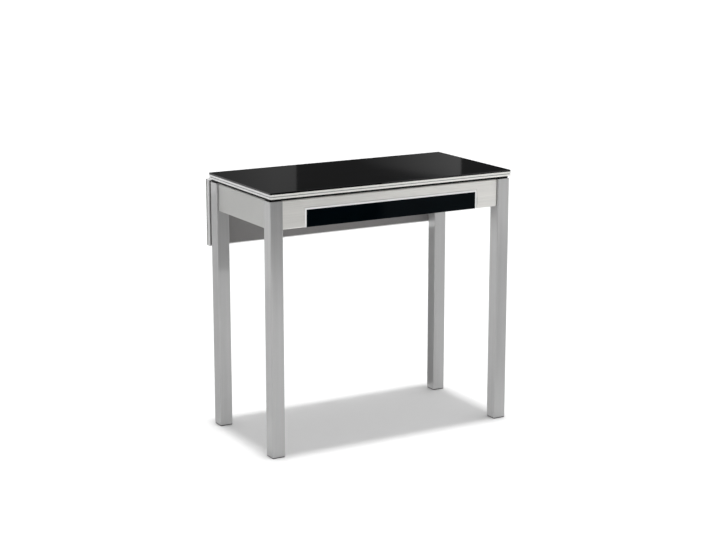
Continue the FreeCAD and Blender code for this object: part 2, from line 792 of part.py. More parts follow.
bearer_x = notch_half + bearer_clear
bearer_z = apron_z + bearer_lift
bearer_front = apron_front_y + apron_sheet
bearer_section = [
    (bearer_x, bearer_z),
    (bearer_x + bearer_width, bearer_z),
    (bearer_x + bearer_width, bearer_z + bearer_sheet),
    (bearer_x + bearer_sheet, bearer_z + bearer_sheet),
    (bearer_x + bearer_sheet, bearer_z + bearer_height - bearer_sheet),
    (bearer_x + bearer_width, bearer_z + bearer_height - bearer_sheet),
    (bearer_x + bearer_width, bearer_z + bearer_height),
    (bearer_x, bearer_z + bearer_height),
]
bearer_inner_bend = bearer_bend - bearer_sheet
bearer_radii = [bearer_bend, 0, 0, bearer_inner_bend, bearer_inner_bend, 0, 0, bearer_bend]
bearer_run = Y_AXIS * (web_in - bearer_front)
bearer = extruded(bearer_section, bearer_radii, in_xz(bearer_front), bearer_run)

# Roller runners: the fixed member on the bearer, the moving member under the drawer side

drawer_y = apron_front_y
front_back = drawer_y + drawer_glass_thick + drawer_front_thick
box_half = bearer_x - runner_space
box_z = apron_z + runner_lift + runner_sheet + runner_step
drawer_length = drawer_travel + drawer_overlap
drawer_rear = front_back + drawer_length
track_z = apron_z + runner_lift + runner_sheet
run_z = track_z + 2 * (roller_radius + roller_run) + roller_free
runner_top = run_z + runner_sheet + runner_top_clear + runner_sheet
runner_low = apron_z + runner_lift
runner_front = front_back + runner_front_clear
front_roller_y = runner_front + roller_inset
front_roller_z = run_z - roller_run - roller_radius
rear_roller_y = drawer_rear - roller_inset
rear_roller_z = track_z + roller_run + roller_radius
runner_rear = rear_roller_y + roller_radius + stop_clear + runner_sheet

fixed_section = [
    (bearer_x, runner_low),
    (bearer_x, runner_top),
    (bearer_x - runner_flange, runner_top),
    (bearer_x - runner_flange, runner_top - runner_sheet),
    (bearer_x - runner_sheet, runner_top - runner_sheet),
    (bearer_x - runner_sheet, track_z),
    (bearer_x - runner_flange, track_z),
    (bearer_x - runner_flange, runner_low),
]
fixed_run = Y_AXIS * (runner_rear - runner_front)
fixed_runner = extruded(fixed_section, [0] * 8, in_xz(runner_front), fixed_run)
rear_stop = block(
    bearer_x - runner_flange, bearer_x - runner_sheet / 2, runner_rear - runner_sheet, runner_rear,
    track_z - runner_sheet / 2, track_z + stop_height,
)
fixed_web = bearer_x - runner_sheet
axle_reach = roller_width + 2 * roller_side_gap
front_axle = rod(axle_radius, vec(fixed_web, front_roller_y, front_roller_z), X_AXIS * -1, axle_reach)
front_head_x = fixed_web - axle_reach
front_head = rod(
    axle_head_radius, vec(front_head_x, front_roller_y, front_roller_z), X_AXIS * -1, axle_head_thick
)
fixed_runner = one_solid(fixed_runner.fuse([rear_stop, front_axle, front_head]))

run_edge = bearer_x - runner_sheet - runner_side_clear
moving_section = [
    (box_half - runner_foot, box_z - runner_sheet),
    (box_half + runner_sheet, box_z - runner_sheet),
    (box_half + runner_sheet, run_z),
    (run_edge, run_z),
    (run_edge, run_z + runner_sheet),
    (box_half, run_z + runner_sheet),
    (box_half, box_z),
    (box_half - runner_foot, box_z),
]
moving_run = Y_AXIS * drawer_length
moving_runner = extruded(moving_section, [0] * 8, in_xz(front_back), moving_run)
moving_web = box_half + runner_sheet
rear_axle = rod(axle_radius, vec(moving_web, rear_roller_y, rear_roller_z), X_AXIS, axle_reach)
rear_head_x = moving_web + axle_reach
rear_head = rod(axle_head_radius, vec(rear_head_x, rear_roller_y, rear_roller_z), X_AXIS, axle_head_thick)
moving_runner = one_solid(moving_runner.fuse([rear_axle, rear_head]))

roller_bore = axle_radius + axle_clear
hub_radius = axle_head_radius
dish_radius = roller_radius - roller_rim
roller_profile = [
    (roller_bore, 0),
    (hub_radius, 0),
    (hub_radius, roller_dish),
    (dish_radius, roller_dish),
    (dish_radius, 0),
    (roller_radius, 0),
    (roller_radius, roller_width),
    (dish_radius, roller_width),
    (dish_radius, roller_width - roller_dish),
    (hub_radius, roller_width - roller_dish),
    (hub_radius, roller_width),
    (roller_bore, roller_width),
]
front_roller_x = fixed_web - roller_side_gap
rear_roller_x = moving_web + roller_side_gap
front_roller = turned(roller_profile, vec(front_roller_x, front_roller_y, front_roller_z), X_AXIS * -1)
rear_roller = turned(roller_profile, vec(rear_roller_x, rear_roller_y, rear_roller_z), X_AXIS)

for side_name, side in SIDES.items():
    save("drawer_bearer_" + side_name, mirrored(bearer, side))
    save("runner_fixed_" + side_name, mirrored(fixed_runner, side))
    save("runner_moving_" + side_name, mirrored(moving_runner, side))
    save("roller_front_" + side_name, mirrored(front_roller, side))
    save("roller_rear_" + side_name, mirrored(rear_roller, side))

# Drawer: glass front with a slim trim on three sides, inner front, sides, back and bottom

front_half = drawer_width / 2
front_top = apron_z + drawer_height
trim_run = Y_AXIS * (front_back - drawer_y)
trim_out = extruded(
    rectangle(-front_half, front_half, apron_z, front_top), [0, 0, notch_corner, notch_corner],
    in_xz(drawer_y), trim_run,
)
inner_half = front_half - trim_thick
inner_top = front_top - trim_thick
trim_in = block(-inner_half, inner_half, drawer_y, front_back, apron_z, inner_top)
save("drawer_trim", one_solid(trim_out.cut(trim_in)))
glass_back = drawer_y + drawer_glass_thick
save("drawer_glass", block(-inner_half, inner_half, drawer_y, glass_back, apron_z, inner_top))

bottom_z = box_z + drawer_bottom_lift
bottom_top = bottom_z + drawer_bottom_thick
side_in = box_half - drawer_wall
bottom_half = side_in + drawer_groove
bottom_front = front_back - drawer_groove
side_top = box_z + drawer_side_height
room = drawer_groove_clear
groove = block(
    -bottom_half - room, bottom_half + room, bottom_front - room, drawer_rear, bottom_z, bottom_top + room
)
inner_front = block(-inner_half, inner_half, glass_back, front_back, apron_z, inner_top)
save("drawer_inner_front", one_solid(inner_front.cut(groove)))
for side_name, side in SIDES.items():
    wall = block(side_in, box_half, front_back, drawer_rear, box_z, side_top).cut(groove)
    save("drawer_side_" + side_name, mirrored(one_solid(wall), side))
back_front = drawer_rear - drawer_wall
save("drawer_back", block(-side_in, side_in, back_front, drawer_rear, bottom_top, side_top))
save("drawer_bottom", block(-bottom_half, bottom_half, bottom_front, drawer_rear, bottom_z, bottom_top))
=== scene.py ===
import math

import bpy
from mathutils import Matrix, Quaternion, Vector


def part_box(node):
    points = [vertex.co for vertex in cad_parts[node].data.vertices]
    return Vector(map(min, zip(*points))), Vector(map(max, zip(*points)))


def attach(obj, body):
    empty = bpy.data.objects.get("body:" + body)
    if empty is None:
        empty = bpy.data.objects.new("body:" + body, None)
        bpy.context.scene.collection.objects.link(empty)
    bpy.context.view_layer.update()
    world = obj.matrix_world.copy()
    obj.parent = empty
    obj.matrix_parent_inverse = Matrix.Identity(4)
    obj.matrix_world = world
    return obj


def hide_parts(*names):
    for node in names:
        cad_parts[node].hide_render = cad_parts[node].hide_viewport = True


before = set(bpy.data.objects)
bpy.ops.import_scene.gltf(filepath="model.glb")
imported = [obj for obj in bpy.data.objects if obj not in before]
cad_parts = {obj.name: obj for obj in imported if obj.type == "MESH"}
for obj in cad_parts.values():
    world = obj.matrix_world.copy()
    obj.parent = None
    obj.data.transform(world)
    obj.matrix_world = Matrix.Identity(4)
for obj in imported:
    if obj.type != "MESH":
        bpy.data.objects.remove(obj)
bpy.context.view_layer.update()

# Legs: four square steel tubes with rounded corners in a satin silver-grey coating.
# The tube is drawn and linished lengthwise, and the thin coat lets those lines show.

cloud_detail = 3.0
grain_detail = 2.0


def cloud_and_grain_group():
    """Shader group: a slow drift of tone and a fine grain, each from 0 to 1 over the surface."""
    group = bpy.data.node_groups.new("cloud_and_grain", "ShaderNodeTree")
    for socket_name, socket_type in (
        ("Place", "NodeSocketVector"),
        ("Cloud Scale", "NodeSocketFloat"),
        ("Grain Scale", "NodeSocketFloat"),
        ("Grain Share", "NodeSocketFloat"),
    ):
        group.interface.new_socket(socket_name, in_out="INPUT", socket_type=socket_type)
    for socket_name in ("Tone", "Grain"):
        group.interface.new_socket(socket_name, in_out="OUTPUT", socket_type="NodeSocketFloat")
    source = group.nodes.new("NodeGroupInput")
    result = group.nodes.new("NodeGroupOutput")
    cloud = group.nodes.new("ShaderNodeTexNoise")
    cloud.inputs["Detail"].default_value = cloud_detail
    grain = group.nodes.new("ShaderNodeTexNoise")
    grain.inputs["Detail"].default_value = grain_detail
    tone = group.nodes.new("ShaderNodeMix")
    group.links.new(source.outputs["Place"], cloud.inputs["Vector"])
    group.links.new(source.outputs["Place"], grain.inputs["Vector"])
    group.links.new(source.outputs["Cloud Scale"], cloud.inputs["Scale"])
    group.links.new(source.outputs["Grain Scale"], grain.inputs["Scale"])
    group.links.new(source.outputs["Grain Share"], tone.inputs["Factor"])
    group.links.new(cloud.outputs["Fac"], tone.inputs["A"])
    group.links.new(grain.outputs["Fac"], tone.inputs["B"])
    group.links.new(tone.outputs["Result"], result.inputs["Tone"])
    group.links.new(grain.outputs["Fac"], result.inputs["Grain"])
    return group


cloud_and_grain = cloud_and_grain_group()
untinted = (1.0, 1.0, 1.0)
tone_low = 0.3
tone_high = 0.7
relief_strength = 0.5


def grey(value, tint=untinted):
    """Opaque colour of one brightness, with an optional tint."""
    return (value * tint[0], value * tint[1], value * tint[2], 1.0)


def finish(
    name, dark, light, smooth, rough, cloud_scale, grain_scale, grain_share, relief, stretch=(1.0, 1.0, 1.0)
):
    """Procedural finish: colour and roughness drift between two values each, over a fine relief."""
    material = bpy.data.materials.new(name)
    material.use_nodes = True
    tree = material.node_tree
    shader = tree.nodes["Principled BSDF"]
    place = tree.nodes.new("ShaderNodeTexCoord")
    turn = tree.nodes.new("ShaderNodeMapping")
    turn.inputs["Scale"].default_value = stretch
    texture = tree.nodes.new("ShaderNodeGroup")
    texture.node_tree = cloud_and_grain
    texture.inputs["Cloud Scale"].default_value = cloud_scale
    texture.inputs["Grain Scale"].default_value = grain_scale
    texture.inputs["Grain Share"].default_value = grain_share
    colour = tree.nodes.new("ShaderNodeValToRGB")
    colour.color_ramp.elements[0].position = tone_low
    colour.color_ramp.elements[0].color = dark
    colour.color_ramp.elements[1].position = tone_high
    colour.color_ramp.elements[1].color = light
    gloss = tree.nodes.new("ShaderNodeMapRange")
    gloss.inputs["To Min"].default_value = smooth
    gloss.inputs["To Max"].default_value = rough
    bump = tree.nodes.new("ShaderNodeBump")
    bump.inputs["Strength"].default_value = relief_strength
    bump.inputs["Distance"].default_value = relief
    tree.links.new(place.outputs["Object"], turn.inputs["Vector"])
    tree.links.new(turn.outputs["Vector"], texture.inputs["Place"])
    tree.links.new(texture.outputs["Tone"], colour.inputs["Fac"])
    tree.links.new(texture.outputs["Tone"], gloss.inputs["Value"])
    tree.links.new(texture.outputs["Grain"], bump.inputs["Height"])
    tree.links.new(colour.outputs["Color"], shader.inputs["Base Color"])
    tree.links.new(gloss.outputs["Result"], shader.inputs["Roughness"])
    tree.links.new(bump.outputs["Normal"], shader.inputs["Normal"])
    return material


def shader_of(material):
    """The one Principled shader of a finish, whose own sockets take what is the same all over."""
    return material.node_tree.nodes["Principled BSDF"]


def dress(material, *names):
    """Gives carried-over CAD nodes their finish."""
    for name in names:
        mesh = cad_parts[name].data
        mesh.materials.clear()
        mesh.materials.append(material)


corners = [row + "_" + side for row in ("front", "rear") for side in ("left", "right")]
silver_tube = finish(
    "silver_tube", dark=grey(0.435), light=grey(0.495), smooth=0.25, rough=0.34,
    cloud_scale=110.0, grain_scale=800.0, grain_share=0.4, relief=0.00002, stretch=(1.0, 1.0, 0.012),
)
shader_of(silver_tube).inputs["Metallic"].default_value = 0.45
dress(silver_tube, *["leg_" + corner for corner in corners])

# Feet and caps: polypropylene mouldings pressed into the open ends of the legs, a dark grey
# ribbed plug with a thin flange below and a black raised cap that carries the top above.

foot_plastic = finish(
    "foot_plastic", dark=grey(0.055), light=grey(0.085), smooth=0.5, rough=0.65,
    cloud_scale=20.0, grain_scale=1800.0, grain_share=0.6, relief=0.00005,
)
dress(foot_plastic, *["foot_" + corner for corner in corners])
black_plastic = finish(
    "black_plastic", dark=grey(0.006), light=grey(0.012), smooth=0.6, rough=0.75,
    cloud_scale=20.0, grain_scale=1800.0, grain_share=0.6, relief=0.00005,
)
shader_of(black_plastic).inputs["Specular IOR Level"].default_value = 0.2
dress(black_plastic, "leg_caps")

# Side and rear aprons: trays folded from steel sheet, powder coated to match the legs
# and bolted through their end tabs. Baking leaves a fine flake and a slow drift of tone.

paint_tint = (1.0, 1.0, 0.975)
silver_paint = finish(
    "silver_paint", dark=grey(0.52, paint_tint), light=grey(0.59, paint_tint), smooth=0.42, rough=0.55,
    cloud_scale=7.0, grain_scale=2200.0, grain_share=0.4, relief=0.00002,
)
shader_of(silver_paint).inputs["Metallic"].default_value = 0.25
dress(silver_paint, "apron_left", "apron_right", "apron_rear")

# Front apron: a lighter tray faced in fine brushed aluminium, with the grain along its length.
# It is folded like the others, bolted to the front legs and notched from below for the drawer front.

brushed_tint = (1.0, 0.988, 0.95)
brushed_front = finish(
    "brushed_front", dark=grey(0.75, brushed_tint), light=grey(0.89, brushed_tint), smooth=0.30, rough=0.44,
    cloud_scale=60.0, grain_scale=420.0, grain_share=0.5, relief=0.00002, stretch=(0.02, 1.0, 1.0),
)
shader_of(brushed_front).inputs["Metallic"].default_value = 0.35
dress(brushed_front, "apron_front")

# Frame bolts: zinc plated button head bolts with a hexagon socket, two at each end of every apron.
# Each is turned through the apron's end tab into a nut welded inside the leg.

yellow_zinc = (1.0, 1.0, 0.96)
blue_zinc = (0.98, 1.0, 1.0)
zinc_steel = finish(
    "zinc_steel", dark=grey(0.42, yellow_zinc), light=grey(0.62, blue_zinc), smooth=0.25, rough=0.45,
    cloud_scale=45.0, grain_scale=900.0, grain_share=0.5, relief=0.00002,
)
shader_of(zinc_steel).inputs["Metallic"].default_value = 1.0
dress(zinc_steel, "leg_nuts")

facing = 0.99
touching = 0.0001
round_sides = 32
rim_share = 0.9
crown_steps = 5
crown_profile = 0.6
tip_share = 0.25


def pick_faces(piece, wanted):
    """Selects, in edit mode, the faces whose centre and normal pass the test."""
    bpy.ops.object.mode_set(mode="EDIT")
    bpy.ops.mesh.select_mode(type="FACE")
    bpy.ops.mesh.select_all(action="DESELECT")
    bpy.ops.object.mode_set(mode="OBJECT")
    for face in piece.data.polygons:
        face.select = wanted(face.center, face.normal)
    bpy.ops.object.mode_set(mode="EDIT")


def pick_edges(piece, wanted):
    """Selects, in edit mode, the edges whose two ends pass the test."""
    bpy.ops.object.mode_set(mode="EDIT")
    bpy.ops.mesh.select_mode(type="EDGE")
    bpy.ops.mesh.select_all(action="DESELECT")
    bpy.ops.object.mode_set(mode="OBJECT")
    points = piece.data.vertices
    for edge in piece.data.edges:
        edge.select = wanted(points[edge.vertices[0]].co, points[edge.vertices[1]].co)
    bpy.ops.object.mode_set(mode="EDIT")


def round_bar(name, sides, radius, length, low=0.0):
    """Upright round bar with many sides, standing at the given height: a start for turned pieces."""
    bpy.ops.object.select_all(action="DESELECT")
    bpy.ops.mesh.primitive_cylinder_add(
        vertices=sides, radius=radius, depth=length, location=(0.0, 0.0, low + length / 2)
    )
    bpy.ops.object.transform_apply(location=True, rotation=True, scale=True)
    piece = bpy.context.object
    piece.name = name
    return piece


def round_crown(piece, height, radius):
    """Rounds the top rim of a head of the given height that stands on z = 0."""
    pick_edges(piece, lambda a, b: min(a.z, b.z) > rim_share * height)
    bpy.ops.mesh.bevel(offset=radius, segments=crown_steps, profile=crown_profile)


def draw_out(depth, share=1.0):
    """Draws the picked faces out downwards, and narrows their new end to a share of its width."""
    bpy.ops.mesh.extrude_region_move(TRANSFORM_OT_translate={"value": (0.0, 0.0, -depth)})
    bpy.ops.transform.resize(value=(share, share, 1.0))


def add_shank(piece, head_radius, radius, length):
    """Draws a pointed shank out of the flat underside of a head that stands on z = 0."""
    pick_faces(piece, lambda centre, normal: normal.z < -facing and centre.z < touching)
    bpy.ops.mesh.inset(thickness=head_radius - radius)
    draw_out(length - radius)
    draw_out(radius, tip_share)
    bpy.ops.object.mode_set(mode="OBJECT")


def cut_away(piece, cutter):
    """Takes the cutter's form out of the piece, as a punch does."""
    bpy.ops.object.select_all(action="DESELECT")
    bpy.context.view_layer.objects.active = piece
    piece.select_set(True)
    punch = piece.modifiers.new("punch", "BOOLEAN")
    punch.object = cutter
    bpy.ops.object.modifier_apply(modifier=punch.name)
    bpy.data.objects.remove(cutter)


def smooth_over(piece, degrees=35.0):
    """Shades the piece smooth across edges flatter than the angle and crisp across the others."""
    bpy.ops.object.select_all(action="DESELECT")
    bpy.context.view_layer.objects.active = piece
    piece.select_set(True)
    bpy.ops.object.shade_smooth_by_angle(angle=math.radians(degrees))


def set_in_place(pattern, name, place, aim, body, turn=0.0):
    """Copy of a pattern drawn along +Z, with its own mesh, aimed, put in place and riding on its body."""
    piece = pattern.copy()
    piece.data = pattern.data.copy()
    piece.name = name
    bpy.context.scene.collection.objects.link(piece)
    bpy.ops.object.select_all(action="DESELECT")
    bpy.context.view_layer.objects.active = piece
    piece.select_set(True)
    aimed = Vector(aim).to_track_quat("Z", "Y") @ Quaternion((0.0, 0.0, 1.0), turn)
    piece.rotation_euler = aimed.to_euler()
    piece.location = place
    bpy.ops.object.transform_apply(location=True, rotation=True, scale=True)
    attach(piece, body)
    return piece


bolt_head_radius = 0.0052
bolt_head_height = 0.0032
bolt_crown = 0.0022
bolt_radius = 0.003
bolt_length = 0.012
bolt_turn = 0.4
socket_sides = 6
socket_radius = 0.0023
socket_depth = 0.0018
socket_punch_length = 0.004
bolt_pattern = round_bar("bolt_pattern", round_sides, bolt_head_radius, bolt_head_height)
round_crown(bolt_pattern, bolt_head_height, bolt_crown)
add_shank(bolt_pattern, bolt_head_radius, bolt_radius, bolt_length)
socket_low = bolt_head_height - socket_depth
socket_punch = round_bar("socket_punch", socket_sides, socket_radius, socket_punch_length, socket_low)
cut_away(bolt_pattern, socket_punch)
bolt_pattern.data.materials.append(zinc_steel)
smooth_over(bolt_pattern)

apron_low, apron_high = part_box("apron_left")
apron_sheet = 0.0015
bolt_line = 0.01675
bolt_step = 0.022
bolt_middle = (apron_low[2] + apron_high[2]) / 2
for corner in corners:
    leg_low, leg_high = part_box("leg_" + corner)
    at_front = corner.startswith("front")
    at_left = corner.endswith("left")
    long_seat = leg_high[0] + apron_sheet if at_left else leg_low[0] - apron_sheet
    long_line = leg_low[1] + bolt_line if at_front else leg_high[1] - bolt_line
    short_seat = leg_high[1] + apron_sheet if at_front else leg_low[1] - apron_sheet
    short_line = leg_low[0] + bolt_line if at_left else leg_high[0] - bolt_line
    inward_x = (1.0, 0.0, 0.0) if at_left else (-1.0, 0.0, 0.0)
    inward_y = (0.0, 1.0, 0.0) if at_front else (0.0, -1.0, 0.0)
    for level, height in (("low", bolt_middle - bolt_step), ("high", bolt_middle + bolt_step)):
        for run, place, aim in (
            ("long", (long_seat, long_line, height), inward_x),
            ("short", (short_line, short_seat, height), inward_y),
        ):
            name = "_".join(("frame_bolt", corner, run, level))
            bolt = set_in_place(bolt_pattern, name, place, aim, "frame", bolt_turn)
            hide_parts("frame_bolts")
bpy.data.objects.remove(bolt_pattern)

# Drawer bearers and runners: folded steel channels and roller runners in pale epoxy enamel.
# The bearers are welded between the front and rear aprons and carry the fixed runners,
# and the moving runners are screwed under the drawer.

enamel_tint = (1.0, 1.0, 0.97)
runner_enamel = finish(
    "runner_enamel", dark=grey(0.62, enamel_tint), light=grey(0.72, enamel_tint), smooth=0.28, rough=0.4,
    cloud_scale=12.0, grain_scale=700.0, grain_share=0.3, relief=0.00004,
)
for side in ("left", "right"):
    dress(runner_enamel, "drawer_bearer_" + side, "runner_fixed_" + side, "runner_moving_" + side)

# Weld beads: a short rippled fillet inside each end of a bearer, where its web meets the apron.
# They are ground little and coated over with the bearer.

bead_sides = 12
bead_radius = 0.002
bead_length = 0.024
bead_ripples = 11
bead_neck = 0.84
bead_end = 0.45
bead_smooth = 60.0
bead_pattern = round_bar("bead_pattern", bead_sides, bead_radius, bead_length, -bead_length / 2)
pick_edges(bead_pattern, lambda a, b: abs(a.z - b.z) > bead_length / 2)
bpy.ops.mesh.subdivide(number_cuts=2 * bead_ripples)
ring_step = bead_length / (2 * bead_ripples + 1)
for ring in range(0, 2 * bead_ripples + 2, 2):
    level = ring * ring_step - bead_length / 2
    pick_edges(bead_pattern, lambda a, b: max(abs(a.z - level), abs(b.z - level)) < touching)
    bpy.ops.transform.resize(value=(bead_neck, bead_neck, 1.0))
pick_edges(bead_pattern, lambda a, b: min(abs(a.z), abs(b.z)) > bead_length / 2 - touching)
bpy.ops.transform.resize(value=(bead_end, bead_end, 1.0))
bpy.ops.object.mode_set(mode="OBJECT")
bead_pattern.data.materials.append(runner_enamel)
smooth_over(bead_pattern, bead_smooth)
bearer_width = 0.0105
for side in ("left", "right"):
    low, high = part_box("drawer_bearer_" + side)
    corner_x = high[0] - bearer_width if side == "right" else low[0] + bearer_width
    for end, corner_y in (("front", low[1]), ("rear", high[1])):
        name = "_".join(("weld_bead", end, side))
        place = (corner_x, corner_y, (low[2] + high[2]) / 2)
        set_in_place(bead_pattern, name, place, (0.0, 0.0, 1.0), "frame")
bpy.data.objects.remove(bead_pattern)

# Rollers: moulded nylon wheels with a dished web. Each turns on a pin that is riveted to
# its runner, two on the fixed runners in front and two on the moving ones behind.

warm_nylon = (1.0, 0.98, 0.92)
pale_nylon = (1.0, 0.98, 0.93)
nylon = finish(
    "nylon", dark=grey(0.70, warm_nylon), light=grey(0.80, pale_nylon), smooth=0.3, rough=0.45,
    cloud_scale=90.0, grain_scale=1500.0, grain_share=0.4, relief=0.00003,
)
shader_of(nylon).inputs["Subsurface Weight"].default_value = 0.25
shader_of(nylon).inputs["Subsurface Scale"].default_value = 0.003
dress(nylon, *["roller_" + corner for corner in corners])

# Top: a fibreboard core faced in matt grey laminate, on black plastic strips over the front and
# side aprons and two round spacers over the rear one. The leaf's board is made the same way.

laminate_tint = (1.0, 0.975, 0.965)
grey_board = finish(
    "grey_board", dark=grey(0.20, laminate_tint), light=grey(0.26, laminate_tint), smooth=0.55, rough=0.75,
    cloud_scale=5.0, grain_scale=1100.0, grain_share=0.7, relief=0.00006,
)
dress(grey_board, "top_board", "leaf_board")
dress(black_plastic, "top_spacers")

# Top screws: zinc plated pan head screws with a cross recess, driven up through the apron flanges
# and the spacers into the board.

blade_taper = 0.55


def cross_punch(reach, width, depth, low):
    """Cross of two tapered blades, standing with its point at the given height."""
    blades = []
    for long_x, long_y in ((reach, width), (width, reach)):
        bpy.ops.object.select_all(action="DESELECT")
        bpy.ops.mesh.primitive_cube_add(size=1.0, location=(0.0, 0.0, low + depth))
        blade = bpy.context.object
        blade.scale = (long_x, long_y, 2 * depth)
        bpy.ops.object.transform_apply(location=True, rotation=True, scale=True)
        pick_faces(blade, lambda centre, normal: normal.z < -facing)
        bpy.ops.transform.resize(value=(blade_taper, blade_taper, 1.0))
        bpy.ops.object.mode_set(mode="OBJECT")
        blades.append(blade)
    joint = blades[0].modifiers.new("joint", "BOOLEAN")
    joint.operation = "UNION"
    joint.object = blades[1]
    bpy.context.view_layer.objects.active = blades[0]
    bpy.ops.object.modifier_apply(modifier=joint.name)
    bpy.data.objects.remove(blades[1])
    return blades[0]


pan_radius = 0.0045
pan_height = 0.0026
pan_crown = 0.0018
pan_shank = 0.0021
pan_bite = 0.009
pan_cross_reach = 0.0046
pan_cross_width = 0.0011
pan_cross_depth = 0.0016
flange_low = apron_high[2] - apron_sheet
pan_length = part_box("top_board")[0][2] + pan_bite - flange_low
pan_pattern = round_bar("pan_pattern", round_sides, pan_radius, pan_height)
round_crown(pan_pattern, pan_height, pan_crown)
add_shank(pan_pattern, pan_radius, pan_shank, pan_length)
pan_cross_low = pan_height - pan_cross_depth
pan_punch = cross_punch(pan_cross_reach, pan_cross_width, pan_cross_depth, pan_cross_low)
cut_away(pan_pattern, pan_punch)
pan_pattern.data.materials.append(zinc_steel)
smooth_over(pan_pattern)

screws_low, screws_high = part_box("top_screws")
side_line = screws_high[0] - pan_radius
front_line = screws_low[1] + pan_radius
rear_line = screws_high[1] - pan_radius
long_step = 0.150
short_step = 0.08175
side_middle = (apron_low[1] + apron_high[1]) / 2
screw_number = 0
for direction in (-1.0, 1.0):
    for place_x, place_y in (
        (direction * long_step, front_line),
        (direction * long_step, rear_line),
        (direction * side_line, side_middle - short_step),
        (direction * side_line, side_middle + short_step),
    ):
        screw_number += 1
        name = "top_screw_" + str(screw_number)
        place = (place_x, place_y, flange_low)
        screw = set_in_place(pan_pattern, name, place, (0.0, 0.0, -1.0), "frame", screw_number)
        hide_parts("top_screws")
bpy.data.objects.remove(pan_pattern)

# Edge profiles: satin anodised aluminium extrusions with a fine groove along the middle,
# tongued into the board and mitred at the corners.

groove_half = 0.0013
# Painted shade: the grey the groove is darkened to, standing in for the shade inside it.
groove_painted_shade = 0.54
drawn_stretch = 0.015


def groove_line_group():
    """Shader group: 1 inside a straight groove of the given middle and half width, and 0 beside it."""
    group = bpy.data.node_groups.new("groove_line", "ShaderNodeTree")
    for socket_name in ("Across", "Middle", "Half Width"):
        group.interface.new_socket(socket_name, in_out="INPUT", socket_type="NodeSocketFloat")
    group.interface.new_socket("Groove", in_out="OUTPUT", socket_type="NodeSocketFloat")
    source = group.nodes.new("NodeGroupInput")
    result = group.nodes.new("NodeGroupOutput")
    inside = group.nodes.new("ShaderNodeMath")
    inside.operation = "COMPARE"
    for index, socket_name in enumerate(("Across", "Middle", "Half Width")):
        group.links.new(source.outputs[socket_name], inside.inputs[index])
    group.links.new(inside.outputs["Value"], result.inputs["Groove"])
    return group


groove_line = groove_line_group()


def extrusion_finish(along, across, groove_middle, dark, light):
    """Satin anodised aluminium with drawing lines along one axis, and painted shade down a groove across
    another.
    """
    stretch = [1.0, 1.0, 1.0]
    stretch["xyz".index(along)] = drawn_stretch
    material = finish(
        "_".join(("satin_aluminium", along, across)), dark, light, smooth=0.3, rough=0.42,
        cloud_scale=150.0, grain_scale=900.0, grain_share=0.5, relief=0.00002, stretch=stretch,
    )
    shader = shader_of(material)
    shader.inputs["Metallic"].default_value = 0.2
    tree = material.node_tree
    place = tree.nodes.new("ShaderNodeTexCoord")
    axes = tree.nodes.new("ShaderNodeSeparateXYZ")
    groove = tree.nodes.new("ShaderNodeGroup")
    groove.node_tree = groove_line
    groove.inputs["Middle"].default_value = groove_middle
    groove.inputs["Half Width"].default_value = groove_half
    # Painted shade: inside the groove the colour is mixed towards a dark grey.
    groove_shade_paint = tree.nodes.new("ShaderNodeMixRGB")
    groove_shade_paint.inputs["Color2"].default_value = grey(groove_painted_shade)
    tree.links.new(place.outputs["Object"], axes.inputs["Vector"])
    tree.links.new(axes.outputs[across.upper()], groove.inputs["Across"])
    tree.links.new(groove.outputs["Groove"], groove_shade_paint.inputs["Fac"])
    tree.links.new(shader.inputs["Base Color"].links[0].from_socket, groove_shade_paint.inputs["Color1"])
    tree.links.new(groove_shade_paint.outputs["Color"], shader.inputs["Base Color"])
    return material


# Painted light: a warm tint given only to the brightest copies of the edge profile.
painted_light_tint = (1.0, 0.995, 0.95)
top_edge_low, top_edge_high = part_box("top_edge_front")
top_groove = (top_edge_low[2] + top_edge_high[2]) / 2
leaf_edge_low, leaf_edge_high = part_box("leaf_edge_outer")
leaf_groove = (leaf_edge_low[1] + leaf_edge_high[1]) / 2
# Painted light and shade: the copies of the one extrusion are coloured brighter or darker by the way they
# face the light. The front and rear profiles are brightest and warm, and the leaf's end profiles are
# darkest.
for along, across, groove_middle, dark, light, tint, edges in (
    ("x", "z", top_groove, 0.94, 0.99, painted_light_tint, ("top_edge_front", "top_edge_rear")),
    ("y", "z", top_groove, 0.80, 0.88, untinted, ("top_edge_left", "top_edge_right")),
    ("x", "y", leaf_groove, 0.82, 0.90, untinted, ("leaf_edge_inner", "leaf_edge_outer")),
    ("z", "y", leaf_groove, 0.72, 0.80, untinted, ("leaf_edge_left", "leaf_edge_right")),
):
    dress(extrusion_finish(along, across, groove_middle, grey(dark, tint), grey(light, tint)), *edges)

# Glass: tempered sheets painted black on the back, with polished edges.
# They are bonded to the boards of the top and of the leaf.

blue_black = (0.95, 1.0, 1.1)
black_glass = finish(
    "black_glass", dark=grey(0.003), light=grey(0.005, blue_black), smooth=0.03, rough=0.07,
    cloud_scale=9.0, grain_scale=60.0, grain_share=0.3, relief=0.000001,
)
shader_of(black_glass).inputs["IOR"].default_value = 1.35
dress(black_glass, "top_glass", "leaf_glass")

# Leaf hinges and stays: zinc plated butt hinges under the top and slotted steel stays that
# hold the leaf up, on brackets fixed to the leaf and to the rear apron.

dress(zinc_steel, "hinge_plates_top", "hinge_plates_leaf", "hinge_pins")
for side in ("left", "right"):
    dress(zinc_steel, "stay_" + side, "stay_guide_" + side, "stay_bracket_" + side)

# Board screws: small countersunk screws with a cross recess, zinc plated, driven flush into
# the hinge plates, the stay brackets and the drawer runners.

